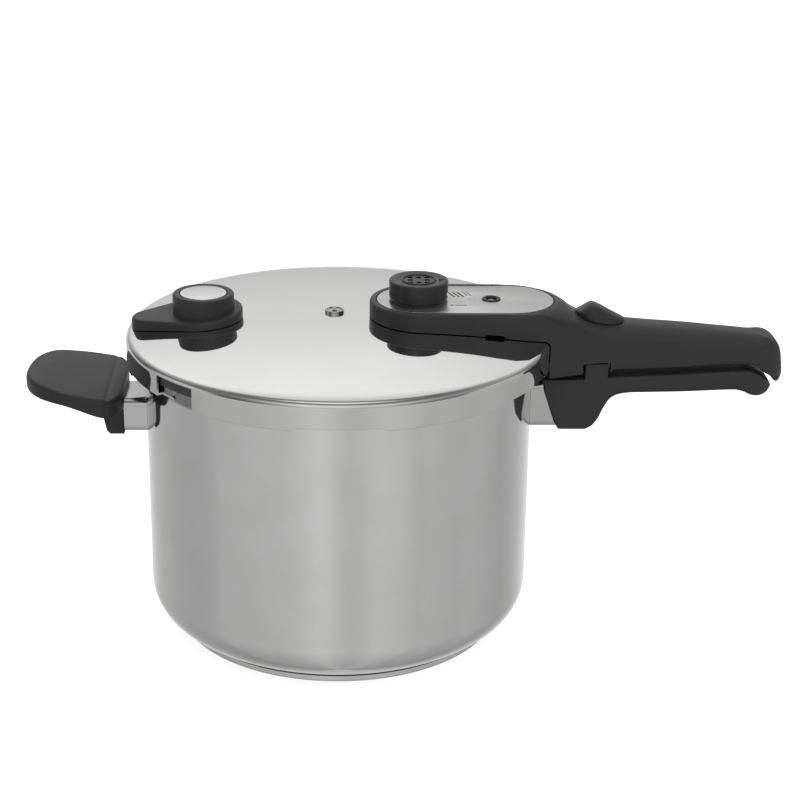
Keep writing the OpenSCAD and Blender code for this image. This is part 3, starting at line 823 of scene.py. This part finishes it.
def make_upper_handle():
    ribs = rib_body(upper_stations(), handle_top, lambda x, y: underside(x))
    handle = add_mesh("LidHandle", *ribs, "handle_plastic")
    inner_half = [(x, upper_half(x) - 3) for x in range(126, 237, 5)]
    inner_plan = inner_half + [(x, -y) for x, y in reversed(inner_half)]
    cavity = loft([[(x, y, 150) for x, y in inner_plan],
                   [(x, y * 0.72, min(crest(x), 189) - 3.4) for x, y in inner_plan]])
    notch = [(81.5, 183.0), (83, 184.9), (92.5, 184.2), (94.5, 182.3), (94.5, 180), (81.5, 180)]
    tools = [envelope_tool(0.45),
             prism_tool(stadium(NOSE_R - 3, *NOSE_X), 150, 193.0),
             tool(cavity),
             prism_tool(stadium(26.0, *NOSE_X), 194.6, 201),
             post_tool(VALVE_X, 9.3, 180, 201),
             post_tool(INDICATOR_X, 3.9, 190, 201),
             tool(loft([[(x, y, z) for x, z in notch] for y in (-34, -25)])),
             prism_tool(box_outline(143.6, 160.6, -3.3, 3.3), 175, 195),
             prism_tool(box_outline(140.2, 156.5, -20, -6), 140, 163.2)]
    combine(handle, tools)
    finish_piece(handle, "lid", "handle_plastic", "upper_handle")


def flat_body(name, loops, low, high, bevel, material):
    """Flat sheet with holes and softened edges, from closed plan outlines."""
    curve = bpy.data.curves.new(name, "CURVE")
    curve.dimensions = "2D"
    curve.fill_mode = "BOTH"
    curve.extrude = ((high - low) / 2 - bevel) * MM
    curve.bevel_depth = bevel * MM
    curve.bevel_resolution = 2
    for loop in loops:
        spline = curve.splines.new("POLY")
        spline.points.add(len(loop) - 1)
        for point, (x, y) in zip(spline.points, loop):
            point.co = (x * MM, y * MM, 0, 1)
        spline.use_cyclic_u = True
    source = bpy.data.objects.new(name, curve)
    bpy.context.scene.collection.objects.link(source)
    graph = bpy.context.evaluated_depsgraph_get()
    mesh = bpy.data.meshes.new_from_object(source.evaluated_get(graph))
    bpy.data.objects.remove(source)
    bpy.data.curves.remove(curve)
    for v in mesh.vertices:
        v.co.z += (low + high) / 2 * MM
    mesh.materials.clear()
    mesh.materials.append(MATERIALS[material])
    while mesh.uv_layers:
        mesh.uv_layers.remove(mesh.uv_layers[0])
    made = bpy.data.objects.new(name, mesh)
    bpy.context.scene.collection.objects.link(made)
    weld(made)
    shade(made)
    layer = mesh.uv_layers.new(name="brushing")
    for loop in mesh.loops:
        place = mesh.vertices[loop.vertex_index].co
        layer.data[loop.index].uv = (place.y, -place.x)
    return made


def circle(radius, x, count=72):
    return [on_circle(2 * math.pi * k / count, radius, x) for k in range(count)]


# Plain printed bars beside the knob: x, y, angle in degrees, length and width.
PLATE_MARKS = ((64.9, 8.0, -68, 9.5, 1.2), (67.6, 8.0, -68, 9.5, 1.2), (70.2, 8.0, -68, 9.5, 1.2),
               (73.0, 9.5, -68, 6.5, 0.6), (75.0, 9.5, -68, 6.5, 0.6), (64.2, -11.5, 0, 1.8, 1.6),
               (69.4, -11.5, 0, 6.5, 0.6))


def make_plate():
    loops = [stadium(25.25, *NOSE_X), circle(12.1, VALVE_X), circle(5.0, INDICATOR_X)]
    plate = flat_body("TopPlate", loops, 194.7, 196.5, 0.15, "plate_steel")
    finish_piece(plate, "lid", "plate_steel", "top_plate")
    outlines = []
    for x, y, angle, length, width in PLATE_MARKS:
        along = Vector(on_circle(math.radians(angle), length / 2))
        across = Vector(on_circle(math.radians(angle + 90), width / 2))
        ends = [Vector((x, y)) - along, Vector((x, y)) + along]
        corners = [ends[0] - across, ends[1] - across, ends[1] + across, ends[0] + across]
        outlines.append(rounded([(p.x, p.y, width * 0.4) for p in corners], step=30))
    made = flat_body("PlateMarks", outlines, 196.47, 196.55, 0.02, "trim_plastic")
    finish_piece(made, "lid", "trim_plastic")


# ---- regulator, indicator, over-pressure valve

INDEX_ANGLE = -15  # degrees from +X to the white dot on the knob


def make_knob():
    body = [
        (6.06, 198, 0.2), (8.6, 198, 0.2), (8.6, 205.8, 0), (14.6, 205.8, 0), (14.6, 197.4, 0.3),
        (16.4, 197.4, 0.3), (16.9, 198.4, 0.6), (17, 208.3, 1.0), (14.6, 208.6, 1.2),
        (10.6, 207.9, 0.5), (10.0, 207.9, 0.15), (9.7, 208.55, 0.2), (9.0, 208.55, 0.2),
        (8.7, 207.9, 0.15), (0, 207.8, 0), (0, 205.8, 0), (6.06, 205.8, 0)]
    knob = turned_piece("RegulatorKnob", "trim_plastic", body, (VALVE_X, 0), 144, 10.0, closed=False)
    pitch, hole = 4.8, 1.4
    tools = []
    for i in (-1, 0, 1):
        for j in (-1, 0, 1):
            if i or j:
                x, y = VALVE_X + i * pitch, j * pitch
                tools.append(prism_tool(box_outline(x - hole, x + hole, y - hole, y + hole), 206.2, 212))
    combine(knob, tools)
    corners = (15.2, 0), (11.4, 2.0), (12.2, 0), (11.4, -2.0)
    arrow = rounded([(VALVE_X + x, y, 0.3) for x, y in corners], step=30)
    combine(knob, [tool(loft([[(x, y, z) for x, y in arrow] for z in (207.6, 208.6, 208.8)]))], "UNION")
    finish_piece(knob, "knob", "trim_plastic", "valve_knob")

    dot = rounded([(0, 0.6, 0), (1.0, 0.5, 0.25), (1.25, 0, 0.1), (1.25, -1, 0), (0, -1, 0)],
                  closed=False, step=20)
    verts, faces = revolve(dot, steps=32)
    turn = math.radians(INDEX_ANGLE)
    placed = []
    for x, y, z in verts:
        out_x, out_y = on_circle(turn, 16.75 + z, VALVE_X)
        placed.append((out_x - y * math.sin(turn), out_y + y * math.cos(turn), 200.6 + x))
    index = add_mesh("KnobIndex", placed, faces, "index_white")
    finish_piece(index, "knob", "index_white", "knob_index")

    corners = [(9.3, 196.5, 0), (15.9, 196.5, 0), (15.7, 197.2, 0.3), (9.3, 197.2, 0.2)]
    seat = turned_piece("KnobSeat", "black_rubber", corners, (VALVE_X, 0), 120)
    finish_piece(seat, "lid", "black_rubber", "knob_seat")


def make_spring():
    """Coil under the knob, which on the real valve shortens as the piston lifts; here it rides with the
    piston and keeps its shape.
    """
    turns, steps, sides, wire = 5, 40, 10, 0.5
    rings = []
    for i in range(turns * steps + 1):
        z = mix(197.6, 205.1, i / (turns * steps))
        ring = []
        for k in range(sides):
            out, up = on_circle(2 * math.pi * k / sides, wire, 3.0)
            ring.append((*on_circle(2 * math.pi * i / steps, out, VALVE_X), z + up))
        rings.append(ring)
    spring = add_mesh("ValveSpring", *loft(rings), "fastener_steel")
    finish_piece(spring, "piston", "fastener_steel", "valve_spring")
    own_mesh(spring)


def make_indicator():
    corners = [(3.1, 195.95, 0), (5.4, 196.5, 0.2), (5.3, 197.1, 0.4), (4.4, 197.2, 0.3),
               (3.4, 196.9, 0.3), (3.1, 196.4, 0)]
    ring = turned_piece("IndicatorBezel", "black_rubber", corners, (INDICATOR_X, 0))
    finish_piece(ring, "lid", "black_rubber", "indicator_bezel")
    corners = [(0, 170.6, 0), (2.9, 170.6, 0.4), (2.9, 172, 0.2), (1.88, 172, 0.1), (1.88, 196.2, 0.5),
               (0, 196.3, 0)]
    pin = turned_piece("IndicatorPin", "dark_steel", corners, (INDICATOR_X, 0), 48, closed=False)
    finish_piece(pin, "indicator", "turned_steel", "indicator_pin")


def make_safety():
    corners = [
        (1.32, 178, 0.1), (3.18, 178, 0.2), (3.18, 186.3, 0), (5.3, 186.3, 0), (5.6, 186.6, 0.2),
        (5.6, 187.9, 0.3), (5.3, 188.1, 0.2), (4.6, 188.1, 0.2), (3.9, 187.45, 0.4), (1.32, 187.4, 0.1)]
    cup = turned_piece("SafetyValve", "valve_steel", corners, SAFETY)
    finish_piece(cup, "lid", "turned_steel", "safety_body")
    corners = [(0, 180, 0), (2.34, 180, 0.15), (2.34, 181.1, 0.1), (1.24, 181.1, 0), (1.24, 187.8, 0.35),
               (0, 187.9, 0)]
    pin = turned_piece("SafetyPin", "dark_steel", corners, SAFETY, 48, closed=False)
    finish_piece(pin, "safety", "turned_steel", "safety_pin")


# ---- lid grip and lock button

GRIP_TURN = 6  # degrees that the thumb rest is turned about the grip


def grip_stations():
    """Teardrop foot: a big arc about the grip, a small one at the tip and straight sides between."""
    tip_x, tip_r, foot_r = -109.6, 9.6, 22.4
    edge = (1.6, 1.6, 0.3)
    lean = math.degrees(math.asin((foot_r - tip_r) / (GRIP_X - tip_x)))
    half = []
    for k in range(13):
        a = math.radians(mix(0, 90 + lean, k / 12))
        half.append((*on_circle(a, foot_r, GRIP_X), GRIP_X, 0, *edge))
    first = half[-1]
    last = on_circle(math.radians(90 + lean), tip_r, tip_x)
    for k in range(1, 7):
        share = k / 7
        side = (mix(first[0], last[0], share), mix(first[1], last[1], share))
        half.append((*side, mix(GRIP_X, tip_x, share), 0, *edge))
    for k in range(9):
        a = math.radians(mix(90 + lean, 180, k / 8))
        half.append((*on_circle(a, tip_r, tip_x), tip_x, 0, *edge))
    turn = math.radians(GRIP_TURN)

    def turned(x, y):
        x -= GRIP_X
        return GRIP_X + x * math.cos(turn) - y * math.sin(turn), x * math.sin(turn) + y * math.cos(turn)

    return [(*turned(x, y), *turned(sx, sy), *rest) for x, y, sx, sy, *rest in mirrored(half)]


def make_lid_grip():
    def top(x, y):
        return 189.9 + 0.073 * (x - GRIP_X) + 0.06 * y

    ribs = rib_body(grip_stations(), top, lambda x, y: dome_z(math.hypot(x, y)) + 0.2)
    grip = add_mesh("LidGrip", *ribs, "handle_plastic")
    knob = [(0, 187, 0), (17.6, 187, 0), (17.6, 200, 1.8), (15.0, 200, 0.5), (13.7, 199.7, 0.2),
            (13.7, 198.6, 0), (12.6, 198.6, 0), (12.6, 199.1, 0), (0, 199.1, 0)]
    combine(grip, [turned_tool(rounded(knob, closed=False), (GRIP_X, 0), 144)], "UNION")
    finish_piece(grip, "lid", "handle_plastic", "lid_grip")
    disc = flat_body("GripDisc", [circle(13.0, GRIP_X, 120)], 199.1, 199.9, 0.25, "disc_steel")
    finish_piece(disc, "lid", "disc_steel", "grip_disc")


def make_lock_button():
    start, end = 136.6, 165.2
    half_plan = smooth_curve([
        (start, 0.4), (137.4, 4.0), (139.6, 6.4), (143, 8.0), (148, 8.9), (155, 8.8), (160, 7.8),
        (163.4, 5.6), (end, 0.4)])
    ridge = smooth_curve([
        (start, 190.2), (139, 191.2), (141.4, 192.7), (143.8, 194.3), (146.3, 194.9), (149, 194.0),
        (157.3, 189.6), (162, 187.2), (end, 185.6)])
    half = [(start, 0, 139.5, 0, 0.5, 0.3, 0.2)]
    for k in range(25):
        x = mix(start, end, k / 24)
        inner = min(max(x, 139.0), 162.5)
        half.append((x, half_plan(x), inner, 0, 0.55 * half_plan(x), 0.8 + 0.1 * half_plan(x), 0.2))
    half.append((end, 0, 162.5, 0, 0.5, 0.3, 0.2))

    def top(x, y):
        return max(handle_surface(x, y) + 0.9, ridge(x) - 0.028 * y * y * ease(x, 136, 143))

    ribs = rib_body(mirrored(half), top, lambda x, y: handle_surface(x, y) + 0.25)
    button = add_mesh("LockButton", *ribs, "trim_plastic")
    finish_piece(button, "lock", "trim_plastic", "lock_button")


# ---- pot handles and collars

def section_body(xs, half_at, low_at, high_at, low_edge, high_edge, steps=5):
    """Body along X from rounded rectangular sections."""
    rings = []
    for x in xs:
        half, low, high = half_at(x), low_at(x), high_at(x)
        middle = (low + high) / 2
        reach = max(0.02, (high - low) / 2)
        lower = min(low_edge, 0.92 * reach, 0.9 * half)
        upper = min(high_edge, 0.92 * reach, 0.9 * half)
        corners = [(-1, -1, lower), (1, -1, lower), (1, 1, upper), (-1, 1, upper)]
        ring = []
        for i, (side, up, radius) in enumerate(corners):
            middle_y, middle_z = side * (half - radius), middle + up * (reach - radius)
            for k in range(steps + 1):
                angle = math.radians(180 + 90 * (i + k / steps))
                ring.append((x, *on_circle(angle, radius, middle_y, middle_z)))
        rings.append(ring)
    return loft(rings)


def follow(line):
    """Function through a polyline of rising x."""
    def value(x):
        for (x0, z0), (x1, z1) in zip(line, line[1:]):
            if x <= x1:
                return mix(z0, z1, max(0.0, (x - x0) / (x1 - x0)))
        return line[-1][1]
    return value


# Side view of the long pot handle: its underside, its upper side, and its front end as x over z.
lower_under = smooth_curve([
    (117.2, 153), (117.4, 147), (118.0, 143.5), (119.6, 139), (121.8, 134), (124.4, 127.5),
    (126.6, 123), (128.2, 121.2), (142.8, 121.2), (146.8, 122.9), (150.7, 127.9), (153.8, 134.9),
    (157.6, 140.6), (162.7, 143.2), (169.7, 144.0), (198, 144.3), (230, 145.2), (236, 143.8),
    (240, 141.8), (244.7, 141.0), (250.2, 142.2), (252.5, 146.0)])
lower_over = smooth_curve([
    (117.2, 153.0), (140, 153.0), (157.6, 154.2), (174, 154.8), (199, 155.7), (221, 156.9),
    (237, 157.3), (242.7, 155.4), (247.6, 152.4), (250.7, 149.8), (252.5, 146.4)])
lower_front = follow([
    (121.2, 128.2), (123, 126.6), (127.5, 124.4), (134, 121.8), (139, 119.6), (143.5, 118), (154, 117.3)])
BOLT = (148.5, -10.2, 158.8)  # middle of the hole that the lock bolt enters


def make_lower_handle():
    xs = [117.25 + 0.2 * k for k in range(12)] + [120 + 0.75 * k for k in range(54)]
    xs += [161 + 2.5 * k for k in range(30)]
    xs += [236 + 16.4 * math.sin(math.pi / 2 * k / 16) for k in range(17)]

    def half_at(x):
        return grip_taper(x) * end_round(x, 238, 253) - 1.2 * ease(-x, -119, -117.2)

    sections = section_body(xs, half_at, lower_under, lower_over, 3.0, 1.1)
    handle = add_mesh("LowerHandle", *sections, "handle_plastic")
    tab = rounded([(141.7, -15.9, 0.8), (155.4, -15.9, 0.8), (155.4, -6.4, 0.5), (141.7, -6.4, 0.5)],
                  step=30)
    tip = [(mix(x, 148.5, 0.06), mix(y, -11.2, 0.06), 162.2) for x, y in tab]
    combine(handle, [tool(loft([[(x, y, z) for x, y in tab] for z in (150, 161.7)] + [tip]))], "UNION")
    bore = turned_tool([(0, -20), (2.35, -20), (2.35, 20), (0, 20)], steps=48)
    for v in bore.data.vertices:
        x, y, z = v.co
        v.co = (z + BOLT[0] * MM, y + BOLT[1] * MM, BOLT[2] * MM - x)
    seat = prism_tool(box_outline(110, 150.1, -6.05, 6.05), 133.95, 142.05)
    combine(handle, [bore, seat, post_tool(140, 4.6, 118, 127)])
    finish_piece(handle, "pot", "handle_plastic", "lower_handle")


def make_collar(name, node, half, low, high, end_at):
    """Steel sleeve that starts on the pot wall and ends on a plastic handle."""
    rings = []
    side = 1 if end_at(low) > 0 else -1
    for inset, shares in ((0.0, (0, 0.02, 0.5, 0.98, 1)), (1.0, (1, 0.5, 0))):
        edge = 5 - inset
        wide, bottom, top = half - inset, low + inset, high - inset
        outline = rounded([(-wide, bottom, edge), (wide, bottom, edge), (wide, top, edge),
                           (-wide, top, edge)], step=7.5)
        for share in shares:
            starts = [side * math.sqrt((POT_R + 0.05) ** 2 - y * y) for y, z in outline]
            rings.append([(mix(x, end_at(z), share), y, z) for x, (y, z) in zip(starts, outline)])
    verts, faces = loft(rings, capped=False)
    count = len(rings[0])
    last = (len(rings) - 1) * count
    faces += [(k, (k + 1) % count, last + (k + 1) % count, last + k) for k in range(count)]
    collar = add_mesh(name, verts, faces, "collar_steel")
    finish_piece(collar, "pot", "collar_steel", node)


def make_helper_handle():
    tip, root, end = -181.0, -137.0, -124.1

    def half_at(x):
        return 36.0 * max(0.0, 1 - max(0.0, (root - x) / (root - tip)) ** 2.9) ** 0.45

    top_line = smooth_curve([
        (-181, 153.2), (-176, 154.7), (-170, 154.8), (-158, 152.9), (-137, 149.6), (-127, 147.8),
        (-124, 147.0)])
    low_line = smooth_curve([
        (-181, 146.0), (-177, 145.4), (-172, 145.2), (-157, 143.8), (-149, 141.6), (-135, 136.8),
        (-124, 135.6)])

    def top(x, y):
        return top_line(x) - 0.0008 * y * y + 0.035 * y

    def bottom(x, y):
        return low_line(x) + 0.02 * y

    half = []
    for k in range(19):
        a = math.pi / 2 * k / 18
        x = tip + (root - tip) * (1 - math.cos(a)) ** 1.4
        half.append((x, half_at(x), max(x, -158), 0, 2.2, 1.6, 1.3))
    half.append((-135, 36.0, -135, 0, 2.2, 1.6, 1.3))
    for k in range(1, 9):
        a = math.radians(11.25 * k)
        half.append((-133 + 8.9 * math.sin(a), 16 + 20 * math.cos(a), -133, 0, 2.0, 1.5, 1.0))
    half += [(end, y, -133, 0, 1.6, 1.4, 0.8) for y in (8, 0)]
    wing = add_mesh("HelperHandle", *rib_body(mirrored(half), top, bottom), "wing_plastic")
    soften(wing, 0.6, 5)
    normals = [v.normal.copy() for v in wing.data.vertices]
    for v, normal in zip(wing.data.vertices, normals):
        groove = math.exp(-((v.co.x / MM + 132.0) / 1.1) ** 2)
        v.co -= normal * (0.5 * MM * groove)
    neck_line = rounded([
        (end, 119.4, 0.6), (-132.4, 119.4, 1.2), (-134.4, 121.6, 1.2), (-138.0, 138.5, 0.5),
        (-138.0, 142.5, 0), (end, 142.5, 0)])
    rings = []
    for y, inset in ((-18.4, 1.2), (-18.0, 0.4), (-16.8, 0.0), (16.8, 0.0), (18.0, 0.4), (18.4, 1.2)):
        rings.append([(min(end, mix(x, -130, inset / 9)), y, mix(z, 132, inset / 13))
                      for x, z in neck_line])
    combine(wing, [tool(loft(rings))], "UNION", sharp=50)
    combine(wing, [prism_tool(box_outline(-133.1, -120, -6.05, 6.05), 125.95, 134.05)], sharp=50)
    finish_piece(wing, "pot", "handle_plastic", "helper_handle")


# ---- CAD nodes that stay as they are

KEPT = {
    "aluminium_core": ["base_core"],
    "bracket_steel": ["long_bracket", "helper_bracket", "handle_carrier", "lock_slider"],
    "fastener_steel": ["lower_handle_screw", "helper_screw", "handle_screws", "grip_screw",
                       "safety_spring"],
    "silicone": ["sealing_ring", "valve_washer", "indicator_washer", "safety_washer"],
    "handle_plastic": ["grip_underplate"],
    "brass": ["valve_body"],
    "turned_steel": ["valve_nut", "valve_strainer", "valve_piston", "indicator_guide", "indicator_nut",
                     "safety_nut"],
    "black_rubber": ["indicator_seal"],
}


def dress_nodes():
    for slot, names in KEPT.items():
        for name in names:
            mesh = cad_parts[name].data
            mesh.materials.clear()
            mesh.materials.append(MATERIALS[slot])


make_camera()
bpy.context.scene.view_settings.view_transform = "Standard"
make_world()
make_floor()
add_light("Key", (-0.5, 1.3, 1.9), (0, 0, 0.1), 1.6, 25)
add_light("Fill", (1.0, -0.7, 2.0), (0, 0, 0.1), 1.8, 7)

make_pot()
make_lid()
make_upper_handle()
make_plate()
make_knob()
make_spring()
make_indicator()
make_safety()
make_lid_grip()
make_lock_button()
make_lower_handle()
make_collar("LongCollar", "long_collar", 17, 123.3, 151.7, lambda z: lower_front(z) + 0.3)
make_collar("HelperCollar", "helper_collar", 18, 120.3, 140.7, lambda z: -124.05)
make_helper_handle()
dress_nodes()
